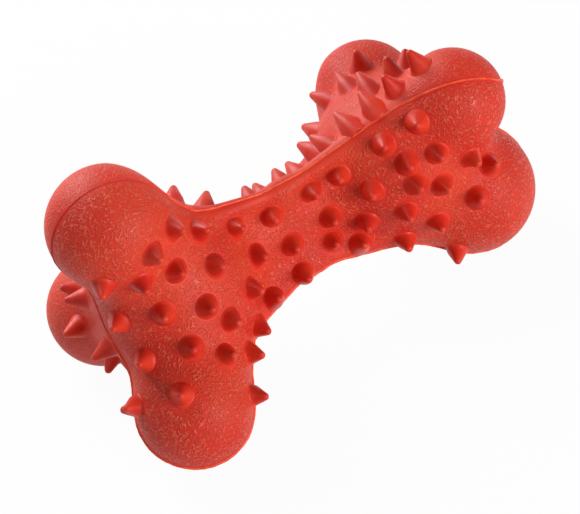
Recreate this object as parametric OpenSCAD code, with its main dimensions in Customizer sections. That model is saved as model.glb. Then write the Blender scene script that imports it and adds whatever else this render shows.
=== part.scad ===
// A rubber chew bone: a twisted three-ridged shaft with three knobs at each end, cone studs
// over its three faces, and the thin flash that the mould leaves along its ridges.
// The long axis runs along x. The bone is shaped about that axis and then laid on its
// three lowest knobs, with z up.

/* [Overall] */
// Distance along the axis from the middle of the bone to the knobs
half_span = 50; // [42:0.5:60]
// Turn of the right end about the axis against the left end, in degrees
twist_deg = 30; // [0:1:50]

/* [Shaft] */
// Radius of the shaft's round core
core_r = 8.7; // [7:0.1:12]
// Distance from the knobs back to the point that the arms spread from
arm_setback = 12.5; // [10:0.5:16]
// Radius of the swelling that the arms spread from
root_r = 20; // [16:0.1:22]
// Reach of a ridge's crest line from the axis at mid-length
ridge_reach = 14.1; // [12:0.1:18]
// Radius of a ridge's crest at mid-length
ridge_r = 1.3; // [0.8:0.1:3]
// Distance from the knobs back to where a ridge turns up into its arm
flare_setback = 22; // [19:0.5:27]
// Reach of a ridge's crest line from the axis at that place
flare_reach = 19.8; // [18:0.1:24]
// Radius of a ridge's crest at that place
flare_r = 3.6; // [2.5:0.1:5]
// Width of the soft blend between ridges, arms and core
blend = 7.5; // [5:0.1:10]

/* [Knobs] */
// Radius of the left front and left back knobs
left_knob_r = 14.5; // [13:0.1:18]
// Radius of the right front knob, the largest
right_knob_r = 17; // [14:0.1:19]
// Distance from the axis to the left knobs' centres
left_reach = 32.5; // [26:0.1:36]
// Distance from the axis to the right knobs' centres
right_reach = 20.1; // [19:0.1:30]
// Radius of those left arms where they enter their knobs
left_neck_r = 13.1; // [11:0.1:15]
// Radius of the right front arm where it enters its knob
right_neck_r = 15.3; // [12:0.1:17]
// Width of the soft blend between a knob and its arm
knob_blend = 6; // [4:0.1:8]

/* [Studs] */
// Radius of a stud at its foot
stud_r = 3.2; // [2.6:0.1:3.5]
// Height of a stud above the skin
stud_h = 6.1; // [4.5:0.1:8]
// Radius of a stud's blunt tip
stud_tip_r = 1.1; // [0.6:0.1:1.6]
// Depth of a stud's root below the skin
stud_root = 0.5; // [0.3:0.1:1.2]
// How far the front face's studs lean from square to the skin towards the way that the
// mould opens, from 0, not at all, to 1, all the way
front_lean_share = 0.5; // [0:0.05:0.7]
// How far the studs on the shaft's other two faces lean the opposite way, in the same share
back_lean_share = 0.5; // [0:0.05:0.7]

/* [Mould seam] */
// Width of the seam flash
seam_w = 0.7; // [0.4:0.1:1.2]
// Height of the seam flash above the skin
seam_h = 0.6; // [0.3:0.1:1]
// Depth of the flash's root below the skin
seam_root = 0.3; // [0.2:0.1:0.6]

/* [Hidden] */
// Ridges, arms and knobs are counted 0 top, 1 front and 2 back, and ends left, then right
FACES = 3;
FULL_TURN = 360;
QUARTER_TURN = FULL_TURN / 4;
even_turn = FULL_TURN / FACES;
// How far each ridge strays from even spacing round the axis, and each knob from its
// ridge, as shares of that spacing
left_stray_shares = [0.075, 0.046, -0.017];
right_stray_shares = [-0.04, -0.0125, -0.0125];
left_knob_stray_shares = [-0.03, 0.02, -0.01];
right_knob_stray_shares = [0.09, 0.02, 0.03];
// How far the seam strays from its ridge on its way over each end's top and front knobs
left_seam_stray_shares = [-0.03, 0.02];
right_seam_stray_shares = [0.15, 0.02];
// Each knob's place along the axis, its reach and its girth, as shares of the sizes above
left_station_shares = [0.975, 1.015, 1.035];
right_station_shares = [1.06, 1.045, 0.91];
left_reach_shares = [1.01, 0.995, 0.99];
right_reach_shares = [0.98, 1, 1.42];
left_girth_shares = [1.04, 1, 1];
right_girth_shares = [0.765, 1, 0.79];

arm_root = half_span - arm_setback;
flare_at = half_span - flare_setback;

// The way that the mould opens on the front face's side: its turn about the axis and its
// tilt towards the left end, in degrees
opening_turn_deg = 45;
opening_tilt_deg = 12;
opening = leaned(-1, opening_turn_deg, opening_tilt_deg);
// Studs on the shaft: place along the axis as a share of arm_root, then place across the
// face from one ridge, 0, to the next, 1
front_shaft_shares = [
    [-0.95, 0.14], [-0.97, 0.54], [-0.85, 0.69], [-0.81, 0.93], [-0.77, 0.35], [-0.75, 0.13],
    [-0.64, 0.94], [-0.58, 0.67], [-0.46, 0.12], [-0.42, 0.93], [-0.4, 0.5], [-0.15, 0.15],
    [-0.12, 0.94], [-0.1, 0.67], [0.19, 0.12], [0.2, 0.89], [0.25, 0.57], [0.38, 0.93],
    [0.43, 0.13], [0.49, 0.72], [0.57, 0.39], [0.7, 0.91], [0.73, 0.61], [0.77, 0.13],
    [0.85, 0.29], [0.85, 0.43], [0.93, 0.75]
];
back_shaft_shares = [
    [-0.96, 0.55], [-0.93, 0.17], [-0.88, 0.78], [-0.76, 0.36], [-0.69, 0.68], [-0.64, 0.12],
    [-0.49, 0.37], [-0.53, 0.79], [-0.42, 0.12], [-0.26, 0.25], [-0.17, 0.67], [-0.03, 0.3],
    [0.1, 0.63], [0.28, 0.33], [0.45, 0.48], [0.5, 0.8], [0.62, 0.24], [0.66, 0.9],
    [0.84, 0.21], [0.86, 0.9], [0.93, 0.46], [0.97, 0.7]
];
under_shaft_shares = [
    [-0.93, 0.24], [-0.95, 0.57], [-0.83, 0.79], [-0.75, 0.39], [-0.67, 0.12], [-0.61, 0.9],
    [-0.53, 0.66], [-0.43, 0.36], [-0.36, 0.86], [-0.27, 0.1], [-0.19, 0.56], [-0.07, 0.86],
    [0.03, 0.22], [0.11, 0.58], [0.23, 0.86], [0.3, 0.15], [0.4, 0.42], [0.47, 0.75],
    [0.61, 0.14], [0.69, 0.48], [0.75, 0.9], [0.89, 0.28], [0.92, 0.7]
];
// Studs on the arms and knobs: lean towards the end as a share of a quarter turn, then
// place across the face
front_left_shares = [
    [0.53, 0.93], [0.39, 0.18], [0.51, 0.73], [0.62, 0.36], [0.3, 0.78], [0.25, 0.25],
    [0.27, 0.45], [0.19, 0.69], [0.12, 0.2], [0.05, 0.28], [0.01, 0.8], [-0.02, 0.96]
];
front_right_shares = [
    [0.03, 0.12], [0.07, 0.3], [0.03, 0.5], [0.03, 0.95], [0.22, 0.67], [0.3, 0.43],
    [0.42, 0.58]
];
back_left_shares = [
    [0.53, 0.25], [0.6, 0.02], [0.7, 0.4], [0.5, 0.76], [0.4, 0.5], [0.24, 0.27], [0.22, 0.72],
    [0.04, 0.35]
];
back_right_shares = [
    [0.14, 0.32], [0.18, 0.74], [0.22, 0.91], [0.06, 0.9], [0.38, 0.55]
];
under_left_shares = [
    [0.52, 0.71], [0.34, 0.7], [0.5, 0.2], [0.4, 0.33], [0.82, 0.45], [0.24, 0.5],
    [0.1, 0.36], [0.02, 0.77]
];
under_right_shares = [
    [0.08, 0.34], [0.09, 0.84], [0.27, 0.5], [0.29, 0.72], [0.56, 0.5]
];

// Fineness of the skin: steps across a face, rings along the shaft, steps from an arm's
// root to its end, and rings round a knob
FACE_STEPS = 22;
SHAFT_RINGS = 26;
END_STEPS = 12;
KNOB_RINGS = 16;
// Points round a stud's foot and along its tip
STUD_FACETS = 24;
TIP_STEPS = 5;
// Steps along the seam over one knob, then round to where it meets the other seam, and
// how far from the end's middle that bend starts, in degrees
SEAM_STEPS = 18;
BEND_STEPS = 10;
seam_bend_deg = 48;
// Steps that close in on the skin, and how near to it is near enough, as a share of core_r
SEARCH_STEPS = 14;
NEAR_SHARE = 0.0002;
near = core_r * NEAR_SHARE;
// A step for measuring the skin's slope
slope_step = core_r / 100;
// A distance outside the bone on every side
far = half_span + left_reach + right_reach;
rubber = [0.86, 0.2, 0.13];
rubber_shade = [0.78, 0.15, 0.1];

function clamp01(a) = min(max(a, 0), 1);
function mix(a, b, w) = a * (1 - w) + b * w;
function unit(v) = v / norm(v);

// Turn of ridge i about the axis at each end. Index FACES is ridge 0 again, a full turn on
function left_turn(i) = even_turn * (i + left_stray_shares[i % FACES]) - twist_deg / 2;
function right_turn(i) = even_turn * (i + right_stray_shares[i % FACES]) + twist_deg / 2;
function turn_at(i, x) = mix(left_turn(i), right_turn(i), clamp01((x / arm_root + 1) / 2));
function end_turn(s, i) = s < 0 ? left_turn(i) : right_turn(i);

// Sizes of arm i at the end on side s, -1 left and 1 right
function station(s, i) = half_span * (s < 0 ? left_station_shares : right_station_shares)[i];
function reach(s, i) = s < 0 ? left_reach * left_reach_shares[i] : right_reach * right_reach_shares[i];
function knob_stray(s, i) = even_turn * (s < 0 ? left_knob_stray_shares : right_knob_stray_shares)[i];
function seam_stray(s, i) = even_turn * (s < 0 ? left_seam_stray_shares : right_seam_stray_shares)[i];
function girth(s, i) = (s < 0 ? left_girth_shares : right_girth_shares)[i];
function knob_r(s, i) = girth(s, i) * (s < 0 ? left_knob_r : right_knob_r);
function neck_r(s, i) = girth(s, i) * (s < 0 ? left_neck_r : right_neck_r);
function knob_centre(s, i) =
    let (t = end_turn(s, i) + knob_stray(s, i))
    [s * station(s, i), reach(s, i) * cos(t), reach(s, i) * sin(t)];

// Joins two distances with a soft blend of width k
function soft_min(a, b, k) = min(a, b) - pow(max(k - abs(a - b), 0), 2) / (4 * k);
// Distance from p to a ball that rolls from a to b while its radius goes from ra to rb
function roll_gap(p, a, ra, b, rb) =
    let (ab = b - a, h = clamp01((p - a) * ab / (ab * ab)))
    norm(p - a - h * ab) - mix(ra, rb, h);
// Distance from p to one ridge with its arm and knob. q is p as seen from the ridge:
// along the axis, out from it, and across
function arm_gap(s, i, p) =
    let (
        t = turn_at(i, p.x),
        q = [s * p.x, p.y * cos(t) + p.z * sin(t), p.z * cos(t) - p.y * sin(t)],
        m = clamp01(q.x / flare_at),
        k = knob_stray(s, i),
        knob = [station(s, i), reach(s, i) * cos(k), reach(s, i) * sin(k)],
        crest = [
            max(q.x - flare_at, -q.x, 0),
            q.y - min(max(q.y, 0), mix(ridge_reach, flare_reach, m)),
            q.z
        ],
        ridge = norm(crest) - mix(ridge_r, flare_r, m),
        flare = roll_gap(q, [flare_at, flare_reach, 0], flare_r, knob, neck_r(s, i)),
        arm = roll_gap(q, [arm_root, 0, 0], root_r, knob, neck_r(s, i)),
        ball = norm(q - knob) - knob_r(s, i)
    )
    soft_min(soft_min(arm, min(ridge, flare), blend), ball, knob_blend);
function soft_join(gaps, i, so_far) =
    i == len(gaps) ? so_far : soft_join(gaps, i + 1, soft_min(so_far, gaps[i], blend));
// Distance from p to the skin of the bone, below zero inside
function skin_gap(p) =
    let (
        core = norm([max(abs(p.x) - arm_root, 0), p.y, p.z]) - core_r,
        arms = [for (s = [-1, 1]) if (s * p.x > -blend) for (i = [0 : FACES - 1]) arm_gap(s, i, p)]
    )
    soft_join(arms, 0, core);
// How far from o along d the skin lies, between a, inside, and b, outside
function skin_at(o, d, a, gap_a, b, gap_b, n) =
    let (
        guess = n % 3 == 0 ? 0.5 : min(max(gap_a / (gap_a - gap_b), 0.05), 0.95),
        m = mix(a, b, guess),
        gap_m = skin_gap(o + m * d)
    )
    n == 0 || abs(gap_m) < near ? m
    : gap_m < 0 ? skin_at(o, d, m, gap_m, b, gap_b, n - 1)
    : skin_at(o, d, a, gap_a, m, gap_m, n - 1);
function skin_point(o, d) =
    o + d * skin_at(o, d, 0, skin_gap(o), far, skin_gap(o + far * d), SEARCH_STEPS);
function skin_normal(p) =
    let (e = slope_step, g = skin_gap(p))
    unit([
        skin_gap(p + [e, 0, 0]) - g,
        skin_gap(p + [0, e, 0]) - g,
        skin_gap(p + [0, 0, e]) - g
    ]);

// A direction square to the axis at turn t, leaned towards the end on side s
function leaned(s, t, lean) = [s * sin(lean), cos(lean) * cos(t), cos(lean) * sin(t)];
// Turn of step k of the ring round the shaft at x
function ring_turn(k, x) =
    let (i = floor(k / FACE_STEPS), w = k / FACE_STEPS - i)
    mix(turn_at(i, x), turn_at(i + 1, x), w);
function root_point(s) = [s * arm_root, 0, 0];

// Resting frame: the bone lies on its left front, left back and right front knobs
foot_a = knob_centre(-1, 1);
foot_b = knob_centre(-1, 2);
foot_c = knob_centre(1, 1);
ab = foot_b - foot_a;
ac = foot_c - foot_a;
square = unit(cross(ab, ac));
// Radius of a knob's skin on its far side: the arm and the flare blend into a fuller neck,
// and that blends with the ball
function skin_r(ball_r, neck_r) =
    let (full_r = neck_r + blend / 4)
    max(ball_r, full_r) + pow(max(knob_blend - abs(ball_r - full_r), 0), 2) / (4 * knob_blend);
left_skin_r = skin_r(left_knob_r, left_neck_r);
right_skin_r = skin_r(right_knob_r, right_neck_r);
// The up direction rises by the difference in radius from a left foot to the right one
in_ab = unit(ab);
in_ac = unit(ac - (ac * in_ab) * in_ab);
tip = (right_skin_r - left_skin_r) / (ac * in_ac);
face_up = square * unit([0, cos(turn_at(0, 0)), sin(turn_at(0, 0))]) > 0 ? 1 : -1;
up = tip * in_ac + face_up * sqrt(1 - tip * tip) * square;
along = unit([1, 0, 0] - up.x * up);
side = cross(up, along);
lift = left_skin_r - foot_a * up;
module laid() {
    multmatrix([
        [along.x, along.y, along.z, 0],
        [side.x, side.y, side.z, 0],
        [up.x, up.y, up.z, lift],
        [0, 0, 0, 1]
    ])
        children();
}

// Faces that join rows of points of one length, closed round each row. The first row
// closes to point 0 and the last to the point after them all
function band_faces(rows, n) = [
    for (j = [0 : rows - 1], k = [0 : n - 1])
        let (
            a = 1 + j * n + k,
            b = 1 + j * n + (k + 1) % n,
            c = a + n,
            d = b + n,
            last = rows * n + 1
        )
        each concat(
            j == 0 ? [[0, b, a]] : [],
            j < rows - 1 ? [[a, b, d], [a, d, c]] : [[a, b, last]]
        )
];
function turned_over(faces) = [for (f = faces) [f[2], f[1], f[0]]];

// The shaft between the points that the arms spread from, cut square at both
module shaft() {
    n = FACES * FACE_STEPS;
    rings = [
        for (j = [0 : SHAFT_RINGS])
            let (x = arm_root * (2 * j / SHAFT_RINGS - 1))
            for (k = [0 : n - 1])
                skin_point([x, 0, 0], leaned(1, ring_turn(k, x), 0))
    ];
    color(rubber)
        laid()
            polyhedron(
                points = concat([root_point(-1)], rings, [root_point(1)]),
                faces = band_faces(SHAFT_RINGS + 1, n)
            );
}

// Directions round the edge of arm i's share of an end: along the shaft's cut, up to the
// end's middle, and back
function edge_directions(s, i) =
    let (
        x = s * arm_root,
        half = FACE_STEPS / 2,
        start = ((i + FACES - 1) % FACES) * FACE_STEPS + half,
        back_a_turn = i == 0 ? -FULL_TURN : 0,
        t_first = ring_turn(start, x) + back_a_turn,
        t_last = ring_turn(i * FACE_STEPS + half, x)
    )
    concat(
        [for (k = [0 : half - 1]) leaned(s, ring_turn(start + k, x) + back_a_turn, 0)],
        [for (k = [0 : half - 1]) leaned(s, ring_turn(i * FACE_STEPS + k, x), 0)],
        [for (k = [0 : END_STEPS - 1]) leaned(s, t_last, QUARTER_TURN * k / END_STEPS)],
        [for (k = [END_STEPS : -1 : 1]) leaned(s, t_first, QUARTER_TURN * k / END_STEPS)]
    );

// One arm with its knob: its share of the end, from the root point out to the skin
module knob(s, i) {
    o = root_point(s);
    out = unit(knob_centre(s, i) - o);
    edge = edge_directions(s, i);
    n = len(edge);
    rings = [
        for (j = [1 : KNOB_RINGS])
            for (e = edge)
                let (
                    open = acos(e * out),
                    across = unit(e - (e * out) * out),
                    a = open * j / KNOB_RINGS
                )
                skin_point(o, j == KNOB_RINGS ? e : cos(a) * out + sin(a) * across)
    ];
    faces = band_faces(KNOB_RINGS, n);
    color(rubber)
        laid()
            polyhedron(
                points = concat([skin_point(o, out)], rings, [o]),
                faces = s < 0 ? faces : turned_over(faces)
            );
}

// One stud standing on z = 0 with its root below
module stud(root_h) {
    // The flank leaves the tip's ball where it is tangent to it
    centre_h = stud_h - stud_tip_r;
    slope = atan2(centre_h, stud_r) + asin(stud_tip_r / norm([centre_h, stud_r]));
    flat = QUARTER_TURN - slope;
    tip_arc = [
        for (k = [0 : TIP_STEPS - 1])
            let (a = mix(flat, QUARTER_TURN, k / TIP_STEPS))
            [stud_tip_r * cos(a), centre_h + stud_tip_r * sin(a)]
    ];
    rotate_extrude($fn = STUD_FACETS)
        polygon(concat([[0, -root_h], [stud_r, -root_h], [stud_r, 0]], tip_arc, [[0, stud_h]]));
}
// A stud where a ray from the axis meets the skin, leaning by a share from square to the
// skin towards the way that its side of the mould opens. Its root goes deeper by what the
// lean lifts its foot
module planted(o, d, face, lean_share) {
    p = skin_point(o, d);
    n = skin_normal(p);
    axis = unit(mix(n, face == 0 ? opening : -opening, lean_share));
    foot_rise = stud_r * tan(acos(min(axis * n, 1)));
    translate(p)
        rotate([0, acos(axis.z), atan2(axis.y, axis.x)])
            stud(stud_root + foot_rise);
}
module shaft_studs(face, shares, lean_share) {
    color(rubber_shade)
        laid()
            for (q = shares) {
                x = q[0] * arm_root;
                t = mix(turn_at(face, x), turn_at(face + 1, x), q[1]);
                planted([x, 0, 0], leaned(1, t, 0), face, lean_share);
            }
}
module end_studs(s, face, shares, lean_share) {
    color(rubber_shade)
        laid()
            for (q = shares) {
                t = mix(end_turn(s, face), end_turn(s, face + 1), q[1]);
                planted(root_point(s), leaned(s, t, QUARTER_TURN * q[0]), face, lean_share);
            }
}

// Seam i, 0 or 1, runs along its ridge and over its knobs, then bends round short of each
// end's middle to meet the other seam, so that the two make one loop
function seam_end(s, i) =
    let (
        t = end_turn(s, i),
        t_top = t + seam_stray(s, i),
        t_other = end_turn(s, 1 - i) + seam_stray(s, 1 - i),
        from = seam_bend_deg * [cos(t_top), sin(t_top)],
        to = seam_bend_deg * [cos(t_other), sin(t_other)]
    )
    concat(
        [
            for (k = [1 : SEAM_STEPS])
                let (w = k / SEAM_STEPS)
                leaned(s, mix(t, t_top, w), (QUARTER_TURN - seam_bend_deg) * w)
        ],
        [
            for (k = [1 : BEND_STEPS + 1])
                let (w = k / BEND_STEPS / 2, q = (1 - w) * (1 - w) * from + w * w * to)
                leaned(s, atan2(q.y, q.x), QUARTER_TURN - norm(q))
        ]
    );
module seam(i) {
    left = [for (d = seam_end(-1, i)) skin_point(root_point(-1), d)];
    middle = [
        for (j = [0 : SHAFT_RINGS])
            let (x = arm_root * (2 * j / SHAFT_RINGS - 1))
            skin_point([x, 0, 0], leaned(1, turn_at(i, x), 0))
    ];
    right = [for (d = seam_end(1, i)) skin_point(root_point(1), d)];
    line = concat([for (k = [len(left) - 1 : -1 : 0]) left[k]], middle, right);
    // The first and last points only give the flash its heading where the seams meet
    count = len(line) - 2;
    rings = [
        for (k = [1 : count])
            let (
                run = unit(line[k + 1] - line[k - 1]),
                rise = skin_normal(line[k]),
                across = unit(cross(run, rise)) * seam_w / 2
            )
            each [
                line[k] - across - rise * seam_root,
                line[k] + across - rise * seam_root,
                line[k] + across / 2 + rise * seam_h,
                line[k] - across / 2 + rise * seam_h
            ]
    ];
    m = len(rings);
    first = (rings[0] + rings[2]) / 2;
    last = (rings[m - 4] + rings[m - 2]) / 2;
    color(rubber)
        laid()
            polyhedron(points = concat([first], rings, [last]), faces = band_faces(count, 4));
}

shaft();
knob(-1, 0);  // left_top_knob
knob(-1, 1);  // left_front_knob
knob(-1, 2);  // left_back_knob
knob(1, 0);  // right_top_knob
knob(1, 1);  // right_front_knob
knob(1, 2);  // right_back_knob
shaft_studs(0, front_shaft_shares, front_lean_share);  // front_shaft_studs
end_studs(-1, 0, front_left_shares, front_lean_share);  // front_left_studs
end_studs(1, 0, front_right_shares, front_lean_share);  // front_right_studs
shaft_studs(2, back_shaft_shares, back_lean_share);  // back_shaft_studs
end_studs(-1, 2, back_left_shares, 0);  // back_left_studs
end_studs(1, 2, back_right_shares, 0);  // back_right_studs
shaft_studs(1, under_shaft_shares, back_lean_share);  // under_shaft_studs
end_studs(-1, 1, under_left_shares, 0);  // under_left_studs
end_studs(1, 1, under_right_shares, 0);  // under_right_studs
seam(0);  // top_seam
seam(1);  // front_seam
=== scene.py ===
"""The chew bone's looks: one smooth moulded skin, cone studs, ragged mould flash, rubber."""

import math

import bmesh
import bpy
import numpy as np
from mathutils import Matrix, Vector


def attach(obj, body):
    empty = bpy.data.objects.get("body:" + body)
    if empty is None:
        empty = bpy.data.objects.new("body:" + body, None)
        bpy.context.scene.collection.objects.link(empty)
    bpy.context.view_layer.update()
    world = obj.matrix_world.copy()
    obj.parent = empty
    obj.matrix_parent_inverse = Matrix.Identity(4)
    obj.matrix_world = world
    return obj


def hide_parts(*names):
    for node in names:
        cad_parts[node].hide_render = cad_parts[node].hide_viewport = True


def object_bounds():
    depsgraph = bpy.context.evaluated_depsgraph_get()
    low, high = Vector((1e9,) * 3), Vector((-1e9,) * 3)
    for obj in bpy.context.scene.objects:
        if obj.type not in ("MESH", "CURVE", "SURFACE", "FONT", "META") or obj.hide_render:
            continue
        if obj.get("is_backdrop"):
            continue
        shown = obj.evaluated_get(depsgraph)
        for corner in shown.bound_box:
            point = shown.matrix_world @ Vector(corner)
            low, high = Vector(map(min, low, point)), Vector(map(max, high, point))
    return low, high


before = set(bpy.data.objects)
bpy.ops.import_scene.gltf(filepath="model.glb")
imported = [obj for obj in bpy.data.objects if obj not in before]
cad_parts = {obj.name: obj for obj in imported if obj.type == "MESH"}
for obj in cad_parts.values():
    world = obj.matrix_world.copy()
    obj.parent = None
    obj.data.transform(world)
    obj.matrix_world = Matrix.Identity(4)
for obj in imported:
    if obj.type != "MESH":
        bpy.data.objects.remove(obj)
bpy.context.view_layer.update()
scene = bpy.context.scene

MM = 0.001
# The bone's own sizes, in millimetres and degrees, by the names of the solid model
HALF_SPAN = 50.0
TWIST = 30.0
CORE_R = 8.7
ARM_ROOT = HALF_SPAN - 12.5
ROOT_R = 20.0
RIDGE_REACH, RIDGE_R = 14.1, 1.3
FLARE_AT = HALF_SPAN - 22.0
FLARE_REACH, FLARE_R = 19.8, 3.6
BLEND = 7.5
KNOB_R = {-1: 14.5, 1: 17.0}
NECK_R = {-1: 13.1, 1: 15.3}
KNOB_REACH = {-1: 32.5, 1: 20.1}
KNOB_BLEND = 6.0
FACES = 3
EVEN_TURN = 360.0 / FACES
STRAY = {-1: (0.075, 0.046, -0.017), 1: (-0.04, -0.0125, -0.0125)}
KNOB_STRAY = {-1: (-0.03, 0.02, -0.01), 1: (0.09, 0.02, 0.03)}
SEAM_STRAY = {-1: (-0.03, 0.02), 1: (0.15, 0.02)}
STATION = {-1: (0.975, 1.015, 1.035), 1: (1.06, 1.045, 0.91)}
REACH = {-1: (1.01, 0.995, 0.99), 1: (0.98, 1.0, 1.42)}
GIRTH = {-1: (1.04, 1.0, 1.0), 1: (0.765, 1.0, 0.79)}
STUD_R, STUD_H, STUD_TIP_R = 3.2, 6.1, 1.1
SEAM_ROOT = 0.3
SEAM_BEND = 48.0
# Farther from the axis than any point of the skin, and the step that slopes are taken over
FAR = 80.0
SLOPE_STEP = 0.05


# The bone's skin, in its own frame: x along the shaft, turns counted from the top ridge
def end_turn(s, i):
    return EVEN_TURN * (i + STRAY[s][i % FACES]) + s * TWIST / 2


def turn_at(i, x):
    w = np.clip((x / ARM_ROOT + 1) / 2, 0, 1)
    return end_turn(-1, i) * (1 - w) + end_turn(1, i) * w


def soft_min(a, b, k):
    return np.minimum(a, b) - np.maximum(k - abs(a - b), 0) ** 2 / (4 * k)


def roll_gap(q, a, ra, b, rb):
    ab = b - a
    h = np.clip((q - a) @ ab / (ab @ ab), 0, 1)
    return np.linalg.norm(q - a - h[:, None] * ab, axis=1) - (ra + (rb - ra) * h)


def knob_place(s, i):
    k = math.radians(EVEN_TURN * KNOB_STRAY[s][i])
    r = KNOB_REACH[s] * REACH[s][i]
    return np.array([HALF_SPAN * STATION[s][i], r * math.cos(k), r * math.sin(k)])


def arm_gap(s, i, p):
    t = np.radians(turn_at(i, p[:, 0]))
    c, sn = np.cos(t), np.sin(t)
    q = np.stack([s * p[:, 0], p[:, 1] * c + p[:, 2] * sn, p[:, 2] * c - p[:, 1] * sn], 1)
    m = np.clip(q[:, 0] / FLARE_AT, 0, 1)
    knob = knob_place(s, i)
    reach = RIDGE_REACH + (FLARE_REACH - RIDGE_REACH) * m
    along = np.maximum(np.maximum(q[:, 0] - FLARE_AT, -q[:, 0]), 0)
    out = q[:, 1] - np.minimum(np.maximum(q[:, 1], 0), reach)
    ridge = np.sqrt(along**2 + out**2 + q[:, 2] ** 2) - (RIDGE_R + (FLARE_R - RIDGE_R) * m)
    neck_r = NECK_R[s] * GIRTH[s][i]
    flare = roll_gap(q, np.array([FLARE_AT, FLARE_REACH, 0]), FLARE_R, knob, neck_r)
    arm = roll_gap(q, np.array([ARM_ROOT, 0, 0]), ROOT_R, knob, neck_r)
    ball = np.linalg.norm(q - knob, axis=1) - KNOB_R[s] * GIRTH[s][i]
    return soft_min(soft_min(arm, np.minimum(ridge, flare), BLEND), ball, KNOB_BLEND)


def skin_gap(p):
    """Distance from each point to the skin, below zero inside."""
    past = np.maximum(abs(p[:, 0]) - ARM_ROOT, 0)
    gap = np.sqrt(past**2 + p[:, 1] ** 2 + p[:, 2] ** 2) - CORE_R
    for s in (-1, 1):
        near = s * p[:, 0] > -BLEND
        for i in range(FACES):
            gap[near] = soft_min(gap[near], arm_gap(s, i, p[near]), BLEND)
    return gap


def first_zero(f, low, high, steps=26):
    """Where f, below zero at low and above it at high, crosses zero, for many rays at once."""
    for _ in range(steps):
        mid = (low + high) / 2
        inside = f(mid) < 0
        low = np.where(inside, mid, low)
        high = np.where(inside, high, mid)
    return (low + high) / 2


def skin_points(o, d):
    n = len(d)
    r = first_zero(lambda t: skin_gap(o + t[:, None] * d), np.zeros(n), np.full(n, FAR))
    return o + r[:, None] * d


def skin_normals(p):
    steps = SLOPE_STEP * np.eye(3)
    g = np.stack([skin_gap(p + e) - skin_gap(p - e) for e in steps], 1)
    return g / np.linalg.norm(g, axis=1)[:, None]


def leaned(s, turn, lean):
    """Unit ways square to the axis at these turns, then leaned by some degrees to end s."""
    t, a = np.radians(turn), np.radians(lean)
    parts = s * np.sin(a), np.cos(a) * np.cos(t), np.cos(a) * np.sin(t)
    return np.stack(np.broadcast_arrays(*parts), -1)


# How the bone lies on its left front, left back and right front knobs
def knob_centre(s, i):
    t = math.radians(end_turn(s, i) + EVEN_TURN * KNOB_STRAY[s][i])
    r = KNOB_REACH[s] * REACH[s][i]
    return np.array([s * HALF_SPAN * STATION[s][i], r * math.cos(t), r * math.sin(t)])


def unit(v):
    return v / np.linalg.norm(v)


def rest_r(ball_r, neck_r):
    """Radius of a knob's skin on its far side, where the ball has blended with its fuller neck."""
    full_r = neck_r + BLEND / 4
    return max(ball_r, full_r) + max(KNOB_BLEND - abs(ball_r - full_r), 0) ** 2 / (4 * KNOB_BLEND)


REST_R = {s: rest_r(KNOB_R[s], NECK_R[s]) for s in (-1, 1)}
foot_a, foot_b, foot_c = knob_centre(-1, 1), knob_centre(-1, 2), knob_centre(1, 1)
square = unit(np.cross(foot_b - foot_a, foot_c - foot_a))
in_ab = unit(foot_b - foot_a)
ac = foot_c - foot_a
in_ac = unit(ac - (ac @ in_ab) * in_ab)
tip = (REST_R[1] - REST_R[-1]) / (ac @ in_ac)
top_way = leaned(1, turn_at(0, 0.0), 0.0)
up = tip * in_ac + (1 if square @ top_way > 0 else -1) * math.sqrt(1 - tip * tip) * square
along = unit(np.array([1.0, 0, 0]) - up[0] * up)
LAID = np.array([along, np.cross(up, along), up])
LIFT = np.array([0, 0, REST_R[-1] - foot_a @ up])


def laid(p):
    """From the bone's own frame, in millimetres, to the row frame in metres."""
    return (p @ LAID.T + LIFT) * MM


def unlaid(p):
    return (p / MM - LIFT) @ LAID


# Meshes
def capped_rings(rows, m):
    """Faces of a closed skin: a first point, rows of m points that each go round, a last point."""
    faces = [[0, 1 + (k + 1) % m, 1 + k] for k in range(m)]
    for j in range(rows - 1):
        p, q = 1 + j * m, 1 + (j + 1) * m
        faces += [[p + k, p + (k + 1) % m, q + (k + 1) % m, q + k] for k in range(m)]
    end = 1 + (rows - 1) * m
    faces += [[end + k, end + (k + 1) % m, 1 + rows * m] for k in range(m)]
    return faces


def make(name, verts, faces, material, nodes):
    mesh = bpy.data.meshes.new(name)
    mesh.from_pydata(verts.tolist(), [], faces)
    mesh.validate()
    mesh.polygons.foreach_set("use_smooth", [True] * len(mesh.polygons))
    bm = bmesh.new()
    bm.from_mesh(mesh)
    bmesh.ops.recalc_face_normals(bm, faces=bm.faces)
    bm.to_mesh(mesh)
    bm.free()
    obj = bpy.data.objects.new(name, mesh)
    scene.collection.objects.link(obj)
    mesh.materials.append(material)
    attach(obj, "root")
    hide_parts(*nodes)
    return obj


# Points that agree to this many decimals of a metre are one, and the points of a ring agree in
# their distance from the apex to this many millimetres
POINT_DECIMALS = 7
RING_SLACK = 0.02


def node_solids(name):
    """The separate solids of a CAD node, each as its points in the bone's own frame."""
    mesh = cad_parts[name].data
    co = np.array([v.co for v in mesh.vertices])
    keys, index = np.unique(np.round(co, POINT_DECIMALS), axis=0, return_inverse=True)
    index = index.reshape(-1)
    root = list(range(len(keys)))

    def find(a):
        while root[a] != a:
            root[a] = root[root[a]]
            a = root[a]
        return a

    for e in mesh.edges:
        a, b = find(index[e.vertices[0]]), find(index[e.vertices[1]])
        root[max(a, b)] = min(a, b)
    groups = {}
    for k in range(len(keys)):
        groups.setdefault(find(k), []).append(k)
    return [unlaid(keys[g]) for _, g in sorted(groups.items())]


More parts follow.
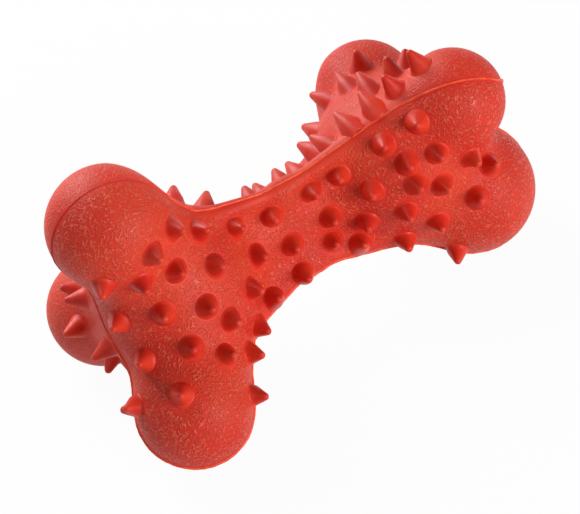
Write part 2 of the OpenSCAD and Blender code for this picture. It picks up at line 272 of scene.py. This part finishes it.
def stud_line(p):
    """The foot and the axis of one stud, from the points of its solid."""
    best = None
    for k in range(len(p)):
        # The apex is the one point whose farthest partners are a whole ring at one distance
        d = np.linalg.norm(p - p[k], axis=1)
        ring = p[d > d.max() - RING_SLACK]
        if best is None or len(ring) > best[0]:
            best = (len(ring), p[k], ring.mean(0))
    _, apex, base = best
    axis = unit(apex - base)
    return apex - axis * STUD_H, axis


STUD_NODES = [n for n in sorted(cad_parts) if n.endswith("_studs")]
studs = {n: [stud_line(p) for p in node_solids(n)] for n in STUD_NODES}
all_feet = np.array([f for n in STUD_NODES for f, _ in studs[n]])


# Materials. Noise scales are in features per metre
def nodes_of(name):
    material = bpy.data.materials.new(name)
    material.use_nodes = True
    tree = material.node_tree
    for n in list(tree.nodes):
        tree.nodes.remove(n)
    return material, tree


def add(tree, kind, **values):
    node = tree.nodes.new(kind)
    for key, value in values.items():
        if key.startswith("in_"):
            node.inputs[key[3:].replace("_", " ")].default_value = value
        else:
            setattr(node, key, value)
    return node


def ramp(tree, source, low, high, to_low=0.0, to_high=1.0, smooth=True):
    node = add(tree, "ShaderNodeMapRange", interpolation_type="SMOOTHSTEP" if smooth else "LINEAR")
    node.inputs["From Min"].default_value = low
    node.inputs["From Max"].default_value = high
    node.inputs["To Min"].default_value = to_low
    node.inputs["To Max"].default_value = to_high
    tree.links.new(source, node.inputs["Value"])
    return node.outputs["Result"]


def math_node(tree, operation, a, b=0.0):
    node = add(tree, "ShaderNodeMath", operation=operation)
    for k, v in enumerate((a, b)):
        if isinstance(v, (int, float)):
            node.inputs[k].default_value = v
        else:
            tree.links.new(v, node.inputs[k])
    return node.outputs[0]


def noise(tree, place, scale, detail=0.0, distortion=0.0):
    values = {"in_Scale": scale, "in_Detail": detail, "in_Distortion": distortion}
    node = add(tree, "ShaderNodeTexNoise", **values)
    tree.links.new(place, node.inputs["Vector"])
    return node.outputs["Fac"]


RUBBER_DARK = (0.63, 0.024, 0.011, 1)
RUBBER = (0.68, 0.042, 0.016, 1)
# A lighter red for the grain's crests: painted highlight
CREST_HIGHLIGHT = (0.75, 0.085, 0.036, 1)
# A darker red for the flash where it is trimmed low: painted shade, so the low seam reads as a
# dark line
FLASH_LOW_SHADE = (0.56, 0.014, 0.010, 1)
# Two reds lighter than the skin for the proud flash, mixed in random patches: painted light
# shining through the thin rubber
FLASH_DARK = (0.72, 0.045, 0.018, 1)
FLASH_PALE = (0.85, 0.10, 0.03, 1)
RUBBER_IOR = 1.42
RUBBER_SPECULAR = 0.38
FLASH_ROUGHNESS = 0.45
# The grain on the skin, and the soft change from one red to the other
FLECKS, FLECK_WAVER, BREAKS, FINE, FINE_SHARE = 1000.0, 0.3, 1250.0, 2400.0, 0.3
SKIN_PATCHES, STUD_PATCHES, FLASH_PATCHES = 45.0, 160.0, 500.0
# The uneven faces of studs and flash, and where a stud is dull
STUD_BUMPS, FLASH_BUMPS = 900.0, 1200.0
STUD_DULL = 400.0
# Heights of bumps, in metres
GRAIN_HEIGHT = 0.00022
SMOOTH_HEIGHT = 0.0001


def rubber(name):
    """A new material with its shader, and the position that its noises are read at."""
    material, tree = nodes_of(name)
    bsdf = add(tree, "ShaderNodeBsdfPrincipled")
    bsdf.inputs["IOR"].default_value = RUBBER_IOR
    bsdf.inputs["Specular IOR Level"].default_value = RUBBER_SPECULAR
    out = add(tree, "ShaderNodeOutputMaterial")
    tree.links.new(bsdf.outputs[0], out.inputs["Surface"])
    place = add(tree, "ShaderNodeTexCoord").outputs["Object"]
    return material, tree, bsdf, place


def layer_of(tree, name):
    return add(tree, "ShaderNodeAttribute", attribute_name=name).outputs["Fac"]


def mix_colour(tree, fac, a, b):
    node = add(tree, "ShaderNodeMix", data_type="RGBA")
    tree.links.new(fac, node.inputs["Factor"])
    for k, v in ((6, a), (7, b)):
        if isinstance(v, tuple):
            node.inputs[k].default_value = v
        else:
            tree.links.new(v, node.inputs[k])
    return node.outputs[2]


def raise_bumps(tree, bsdf, height, strength, distance):
    bump = add(tree, "ShaderNodeBump", in_Strength=strength, in_Distance=distance)
    tree.links.new(height, bump.inputs["Height"])
    tree.links.new(bump.outputs[0], bsdf.inputs["Normal"])


def skin_material():
    material, tree, bsdf, place = rubber("rubber_skin")
    mask = layer_of(tree, "grain")
    # Worm-like flecks of the moulded leather grain, about 0.4 mm wide: the middle level of one
    # noise, broken up by another
    field = noise(tree, place, FLECKS, 0.0, FLECK_WAVER)
    off_middle = math_node(tree, "ABSOLUTE", math_node(tree, "SUBTRACT", field, 0.5))
    line = ramp(tree, off_middle, 0.02, 0.15, 1.0, 0.0)
    breaks = ramp(tree, noise(tree, place, BREAKS), 0.38, 0.52)
    flecks = math_node(tree, "MULTIPLY", line, breaks)
    fine = noise(tree, place, FINE, 1.0)
    height = math_node(tree, "ADD", flecks, math_node(tree, "MULTIPLY", fine, FINE_SHARE))
    raise_bumps(tree, bsdf, math_node(tree, "MULTIPLY", height, mask), 1.0, GRAIN_HEIGHT)
    patches = ramp(tree, noise(tree, place, SKIN_PATCHES, 2.0), 0.35, 0.65)
    base = mix_colour(tree, patches, RUBBER_DARK, RUBBER)
    # The crests are glossier, and painted lighter: a painted highlight on the grain's crests
    crests = math_node(tree, "MULTIPLY", flecks, mask)
    tree.links.new(mix_colour(tree, crests, base, CREST_HIGHLIGHT), bsdf.inputs["Base Color"])
    tree.links.new(ramp(tree, crests, 0, 1, 0.54, 0.38), bsdf.inputs["Roughness"])
    return material


def stud_material():
    material, tree, bsdf, place = rubber("rubber_studs")
    raise_bumps(tree, bsdf, noise(tree, place, STUD_BUMPS, 3.0), 0.25, SMOOTH_HEIGHT)
    patches = ramp(tree, noise(tree, place, STUD_PATCHES, 2.0), 0.35, 0.65)
    tree.links.new(mix_colour(tree, patches, RUBBER_DARK, RUBBER), bsdf.inputs["Base Color"])
    dull = ramp(tree, noise(tree, place, STUD_DULL, 1.0), 0.3, 0.7, 0.40, 0.47)
    tree.links.new(dull, bsdf.inputs["Roughness"])
    return material


def flash_material():
    material, tree, bsdf, place = rubber("rubber_flash")
    bsdf.inputs["Roughness"].default_value = FLASH_ROUGHNESS
    raise_bumps(tree, bsdf, noise(tree, place, FLASH_BUMPS, 2.0), 0.4, SMOOTH_HEIGHT)
    # The proud flash is lighter than the skin, in random patches: painted light shining through
    # the thin rubber
    patches = ramp(tree, noise(tree, place, FLASH_PATCHES, 2.0), 0.3, 0.7)
    raised = mix_colour(tree, patches, FLASH_DARK, FLASH_PALE)
    # Where the flash is trimmed low it takes the darker red: painted shade along the low seam
    low_to_raised = mix_colour(tree, layer_of(tree, "lip"), FLASH_LOW_SHADE, raised)
    tree.links.new(low_to_raised, bsdf.inputs["Base Color"])
    return material


SKIN = skin_material()
STUD = stud_material()
FLASH = flash_material()

# Skin
FACE_STEPS = 88
SHAFT_STEPS = 110
END_STEPS = 80


def ring_rays(s, x, lean):
    """Starts and ways of one ring's rays, with the ridges' crests on grid lines."""
    k = np.arange(FACES * FACE_STEPS)
    i, w = k // FACE_STEPS, (k % FACE_STEPS) / FACE_STEPS
    edges = np.array([turn_at(j, x) for j in range(FACES)] + [turn_at(0, x) + 360])
    turns = edges[i] * (1 - w) + edges[i + 1] * w
    return np.tile([x, 0, 0], (len(k), 1)), leaned(s, turns, lean)


rings = []
for j in range(END_STEPS - 1, 0, -1):
    rings.append(ring_rays(-1, -ARM_ROOT, 90.0 * j / END_STEPS))
for j in range(SHAFT_STEPS + 1):
    rings.append(ring_rays(1, ARM_ROOT * (2 * j / SHAFT_STEPS - 1), 0.0))
for j in range(1, END_STEPS):
    rings.append(ring_rays(1, ARM_ROOT, 90.0 * j / END_STEPS))
starts = [[[-ARM_ROOT, 0, 0]]] + [o for o, _ in rings] + [[[ARM_ROOT, 0, 0]]]
ways = [[[-1.0, 0, 0]]] + [d for _, d in rings] + [[[1.0, 0, 0]]]
skin_p = skin_points(np.concatenate(starts), np.concatenate(ways))
skin_faces = capped_rings(len(rings), FACES * FACE_STEPS)
KNOB_NODES = [f"{e}_{k}_knob" for e in ("left", "right") for k in ("top", "front", "back")]
skin = make("moulded_skin", laid(skin_p), skin_faces, SKIN, ["shaft"] + KNOB_NODES)


# Mould flash
SEAM_END_POINTS, SEAM_BEND_POINTS, SEAM_SHAFT_POINTS = 90, 24, 160
FLASH_STEP = 0.35
# Its height where it is trimmed low and what it gains where it stands proud, each with the part
# of it that is ragged, then half the width of its foot in the same way
LOW_H, LOW_RAGGED_H = 0.22, 0.08
PROUD_H, PROUD_RAGGED_H = 0.06, 0.36
FOOT_W, FOOT_PROUD_W, FOOT_RAGGED_W = 0.20, 0.10, 0.05
FLASH_WANDER = 0.10
# Its cross-section: the height of the foot's edge, then the top's corners, each as its place
# across and its share of the full height
FOOT_EDGE_H = 0.02
TOP_CORNERS = ((0.13, 0.8), (0.02, 1.0), (-0.11, 0.8))
# How far past the shaft it stands proud, and how far it takes to get there
PROUD_PAST = 3.0
PROUD_FADE = 12.0
# Lengths and sizes of the waves that make it ragged, and the sum of the sizes
WAVES = ((9.0, 0.35), (3.1, 0.3), (1.3, 0.25), (0.6, 0.2))
WAVES_SUM = 1.1
SEED_LOW, SEED_PROUD, SEED_WANDER, SEED_FOOT = 71, 11, 31, 51


def seam_line(i, step):
    """Points of seam i, from where it meets the other one at the left end to the right end."""
    pieces = []
    for s in (-1, 1):
        t = end_turn(s, i)
        t_top = t + EVEN_TURN * SEAM_STRAY[s][i]
        t_other = end_turn(s, 1 - i) + EVEN_TURN * SEAM_STRAY[s][1 - i]
        w = np.linspace(0, 1, SEAM_END_POINTS)
        straight = leaned(s, t + (t_top - t) * w, (90 - SEAM_BEND) * w)
        v = np.linspace(0, 0.5, SEAM_BEND_POINTS)[1:, None]
        a, b = np.radians(t_top), np.radians(t_other)
        from_way = np.array([[math.cos(a), math.sin(a)]])
        to_way = np.array([[math.cos(b), math.sin(b)]])
        q = SEAM_BEND * ((1 - v) ** 2 * from_way + v**2 * to_way)
        bend = leaned(s, np.degrees(np.arctan2(q[:, 1], q[:, 0])), 90 - np.linalg.norm(q, axis=1))
        d = np.concatenate([straight, bend])
        pieces.append(skin_points(np.tile([s * ARM_ROOT, 0, 0], (len(d), 1)), d))
    x = np.linspace(-ARM_ROOT, ARM_ROOT, SEAM_SHAFT_POINTS)[1:-1]
    d = leaned(1, turn_at(i, x), 0.0)
    middle = skin_points(np.stack([x, 0 * x, 0 * x], 1), d)
    line = np.concatenate([pieces[0][::-1], middle, pieces[1]])
    run = np.concatenate([[0], np.cumsum(np.linalg.norm(np.diff(line, axis=0), axis=1))])
    at = np.linspace(0, run[-1], int(run[-1] / step) + 1)
    return np.stack([np.interp(at, run, line[:, k]) for k in range(3)], 1)


def ragged(at, seed):
    """A smooth uneven wave between 0 and 1 along a line."""
    rng = np.random.default_rng(seed)
    total = np.zeros(len(at))
    for length, size in WAVES:
        knots = rng.random(int(at[-1] / length) + 3)
        total += size * np.interp(at / length, np.arange(len(knots)), knots)
    return np.clip(total / WAVES_SUM, 0, 1)


seam_feet, seam_ways = [], []
for i, (name, node) in enumerate((("top_flash", "top_seam"), ("front_flash", "front_seam"))):
    line = seam_line(i, FLASH_STEP)
    normal = skin_normals(line)
    run = np.gradient(line, axis=0)
    across = np.cross(run, normal)
    across /= np.linalg.norm(across, axis=1)[:, None]
    at = np.arange(len(line)) * FLASH_STEP
    # The flash stands proud and torn along the shaft, and is trimmed low over the left top knob
    proud_to = ARM_ROOT + PROUD_PAST if i == 0 else 2 * HALF_SPAN
    lip = np.clip((line[:, 0] + proud_to) / PROUD_FADE, 0, 1)
    low = LOW_H + LOW_RAGGED_H * ragged(at, SEED_LOW + i)
    high = (low + lip * (PROUD_H + PROUD_RAGGED_H * ragged(at, SEED_PROUD + i)))[:, None]
    shift = FLASH_WANDER * (ragged(at, SEED_WANDER + i)[:, None] - 0.5)
    wide = (FOOT_W + FOOT_PROUD_W * lip + FOOT_RAGGED_W * ragged(at, SEED_FOOT + i))[:, None]
    line = line + across * shift
    corners = [
        line - across * wide - normal * SEAM_ROOT,
        line + across * wide - normal * SEAM_ROOT,
        line + across * wide + normal * FOOT_EDGE_H,
        *(line + across * c + normal * high * share for c, share in TOP_CORNERS),
        line - across * wide + normal * FOOT_EDGE_H,
    ]
    m = len(corners)
    verts = np.stack(corners, 1).reshape(-1, 3)
    seam_ways.append(across if i == 0 else -across)
    faces = [
        [j * m + k, j * m + (k + 1) % m, (j + 1) * m + (k + 1) % m, (j + 1) * m + k]
        for j in range(len(line) - 1)
        for k in range(m)
    ]
    faces.append(list(range(m))[::-1])
    faces.append([(len(line) - 1) * m + k for k in range(m)])
    flash = make(name, laid(verts), faces, FLASH, [node])
    layer = flash.data.attributes.new("lip", "FLOAT", "POINT")
    layer.data.foreach_set("value", np.repeat(lip, m))
    seam_feet.append(line)
seam_feet, seam_ways = np.concatenate(seam_feet), np.concatenate(seam_ways)


# Studs
STUD_SIDES = 28
TIP_STEPS = 6
# Depths and heights between which every stud's flank meets the skin
FLANK_LOW, FLANK_HIGH = -4.5, 4.6
# The fillet at the foot: how far it spreads, how deep its toe is sunk, where it is halfway, and
# how far the lowest ring lies under the toe and in from it
TOE_SPREAD, TOE_DEPTH, TOE_MIDDLE = 0.5, 0.04, 0.13
TOE_UNDER, TOE_TUCK = 0.5, 0.2
# The lowest ring of the flank above the skin, its least distance below the tip's ball, and the
# places of the flank's rings from there to the ball
FLANK_START, FLANK_LEFT = 0.45, 0.6
FLANK_SHARES = (0.0, 0.3, 0.65)
# A stud's first side is square to its axis and to this
SIDE_FROM = (0.3, 0.5, 0.8)
centre_h = STUD_H - STUD_TIP_R
flank = math.atan2(centre_h, STUD_R) + math.asin(STUD_TIP_R / math.hypot(centre_h, STUD_R))
top_r = STUD_TIP_R * math.sin(flank)
top_z = centre_h + STUD_TIP_R * math.cos(flank)


def flank_r(z):
    return np.where(z > 0, STUD_R + (top_r - STUD_R) * z / top_z, STUD_R)


def stud_mesh(foot, axis):
    side = unit(np.cross(axis, SIDE_FROM))
    other = np.cross(axis, side)
    a = np.linspace(0, 2 * np.pi, STUD_SIDES, endpoint=False)
    out = np.cos(a)[:, None] * side + np.sin(a)[:, None] * other

    def at(z, r):
        return foot + axis * z[:, None] + out * r[:, None]

    one = np.ones(STUD_SIDES)
    z0 = first_zero(lambda z: skin_gap(at(z, flank_r(z))), one * FLANK_LOW, one * FLANK_HIGH)
    base = at(z0, flank_r(z0))
    normal = skin_normals(base)
    spread = out - (out * normal).sum(1)[:, None] * normal
    spread /= np.linalg.norm(spread, axis=1)[:, None]
    toe = base + spread * TOE_SPREAD
    toe = toe - normal * (skin_gap(toe)[:, None] + TOE_DEPTH)
    low = toe - normal * TOE_UNDER - spread * TOE_TUCK
    rings = [low, toe, base + spread * TOE_MIDDLE + axis * TOE_MIDDLE]
    for w in FLANK_SHARES:
        z = np.minimum(z0 + FLANK_START, top_z - FLANK_LEFT)
        z = z + (top_z - z) * w
        rings.append(at(z, flank_r(z)))
    for k in range(TIP_STEPS):
        h = math.pi / 2 - flank + flank * k / TIP_STEPS
        up_axis, off_axis = centre_h + STUD_TIP_R * math.sin(h), STUD_TIP_R * math.cos(h)
        rings.append(at(one * up_axis, one * off_axis))
    verts = np.concatenate([[low.mean(0)], *rings, [foot + axis * STUD_H]])
    return verts, capped_rings(len(rings), STUD_SIDES)


for node in STUD_NODES:
    verts, faces, made = [], [], 0
    for foot, axis in studs[node]:
        v, f = stud_mesh(foot, axis)
        faces += [[k + made for k in face] for face in f]
        verts.append(v)
        made += len(v)
    name = node.replace("_studs", "_stud_field")
    make(name, laid(np.concatenate(verts)), faces, STUD, [node])

# Where the skin is smooth: round the studs' feet and beside the flash. Past the flash, away from
# the front face, the grain is half as strong
STUD_CLEAR, STUD_FADE = 0.35, 1.0
SEAM_SHAFT_CLEAR, SEAM_END_CLEAR, SEAM_FADE = 1.7, 0.5, 1.2
OTHER_HALF_GRAIN = 0.5
SEAM_STRIDE = 3
grain = np.ones(len(skin_p))
near_seam = np.full(len(skin_p), np.inf)
on_front = np.zeros(len(skin_p))
for f in all_feet:
    d = np.linalg.norm(skin_p - f, axis=1)
    grain = np.minimum(grain, np.clip((d - STUD_R - STUD_CLEAR) / STUD_FADE, 0, 1))
for k in range(0, len(seam_feet), SEAM_STRIDE):
    way = skin_p - seam_feet[k]
    d = np.linalg.norm(way, axis=1)
    clear = SEAM_SHAFT_CLEAR if abs(seam_feet[k, 0]) < ARM_ROOT else SEAM_END_CLEAR
    grain = np.minimum(grain, np.clip((d - clear) / SEAM_FADE, 0, 1))
    closer = d < near_seam
    near_seam = np.where(closer, d, near_seam)
    on_front = np.where(closer, way @ seam_ways[k] > 0, on_front)
grain *= np.where(on_front > 0, 1.0, OTHER_HALF_GRAIN)
layer = skin.data.attributes.new("grain", "FLOAT", "POINT")
layer.data.foreach_set("value", grain)


# Floor, light and camera
FLOOR_HALF = 3.0
FLOOR_PAINT = (0.86, 0.86, 0.86, 1)
WHITE = (1, 1, 1, 1)
# How much of the floor is plain white where it is seen. The rest takes the light and the shadow
FLOOR_WHITE_SHARE = 0.96
WORLD_STRENGTH = 0.04
# Each lamp's direction from the bone and its power in watts
LAMPS = (
    ("key", (0.326, -0.911, 0.252), 8.0),
    ("side", (0.720, -0.694, -0.002), 1.8),
    ("front", (-0.695, -0.246, 0.676), 0.8),
    ("rim", (-0.179, 0.564, 0.806), 5.0),
    ("sky", (-0.058, 0.884, 0.463), 6.2),
)
LAMP_SIDE = 0.5
LAMP_DISTANCE = 1.0
LAMP_AIM = (0, 0, 0.04)


def is_seen(tree):
    """1 for the rays that show the background: the camera's, and those through gloss or glass."""
    path = add(tree, "ShaderNodeLightPath")
    seen = math_node(tree, "ADD", path.outputs["Is Camera Ray"], path.outputs["Is Glossy Ray"])
    seen = math_node(tree, "ADD", seen, path.outputs["Is Transmission Ray"])
    return math_node(tree, "MINIMUM", seen, 1.0)


def lay_floor():
    r = FLOOR_HALF
    mesh = bpy.data.meshes.new("floor")
    mesh.from_pydata([(-r, -r, 0), (r, -r, 0), (r, r, 0), (-r, r, 0)], [], [(0, 1, 2, 3)])
    floor = bpy.data.objects.new("floor", mesh)
    scene.collection.objects.link(floor)
    floor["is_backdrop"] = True
    material, tree = nodes_of("white_floor")
    diffuse = add(tree, "ShaderNodeBsdfDiffuse", in_Color=FLOOR_PAINT)
    glow = add(tree, "ShaderNodeEmission", in_Color=WHITE, in_Strength=1.0)
    mix = add(tree, "ShaderNodeMixShader")
    tree.links.new(math_node(tree, "MULTIPLY", is_seen(tree), FLOOR_WHITE_SHARE), mix.inputs[0])
    tree.links.new(diffuse.outputs[0], mix.inputs[1])
    tree.links.new(glow.outputs[0], mix.inputs[2])
    out = add(tree, "ShaderNodeOutputMaterial")
    tree.links.new(mix.outputs[0], out.inputs["Surface"])
    mesh.materials.append(material)


def hang_world():
    world = bpy.data.worlds.new("studio")
    scene.world = world
    world.use_nodes = True
    tree = world.node_tree
    for old in list(tree.nodes):
        tree.nodes.remove(old)
    back = add(tree, "ShaderNodeBackground", in_Color=WHITE)
    strength = ramp(tree, is_seen(tree), 0, 1, WORLD_STRENGTH, 1.0, smooth=False)
    tree.links.new(strength, back.inputs["Strength"])
    out = add(tree, "ShaderNodeOutputWorld")
    tree.links.new(back.outputs[0], out.inputs["Surface"])


def softbox(name, way, power):
    lamp = bpy.data.lights.new(name, "AREA")
    lamp.shape = "RECTANGLE"
    lamp.size, lamp.size_y = LAMP_SIDE, LAMP_SIDE
    lamp.energy = power
    obj = bpy.data.objects.new(name, lamp)
    scene.collection.objects.link(obj)
    way = Vector(way).normalized()
    obj.location = Vector(LAMP_AIM) + way * LAMP_DISTANCE
    obj.rotation_euler = way.to_track_quat("Z", "Y").to_euler()


lay_floor()
hang_world()
for lamp in LAMPS:
    softbox(*lamp)

# The photograph's viewpoint: the camera's place and its three axes
CAMERA_AT = (-0.173334, -0.484264, 0.500119)
CAMERA_RIGHT = Vector((0.832498, -0.509463, -0.217706))
CAMERA_DOWN = Vector((-0.497443, -0.514339, -0.698574))
CAMERA_FORWARD = Vector((0.243923, 0.689857, -0.681614))
camera_data = bpy.data.cameras.new("camera")
camera_data.sensor_width = 36.0
camera_data.lens = 154.487
camera_data.clip_start = 0.05
camera_data.clip_end = 20.0
camera = bpy.data.objects.new("camera", camera_data)
scene.collection.objects.link(camera)
turned = Matrix((CAMERA_RIGHT, -CAMERA_DOWN, -CAMERA_FORWARD)).transposed().to_4x4()
camera.matrix_world = Matrix.Translation(CAMERA_AT) @ turned
scene.camera = camera

scene.view_settings.view_transform = "Standard"

low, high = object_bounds()
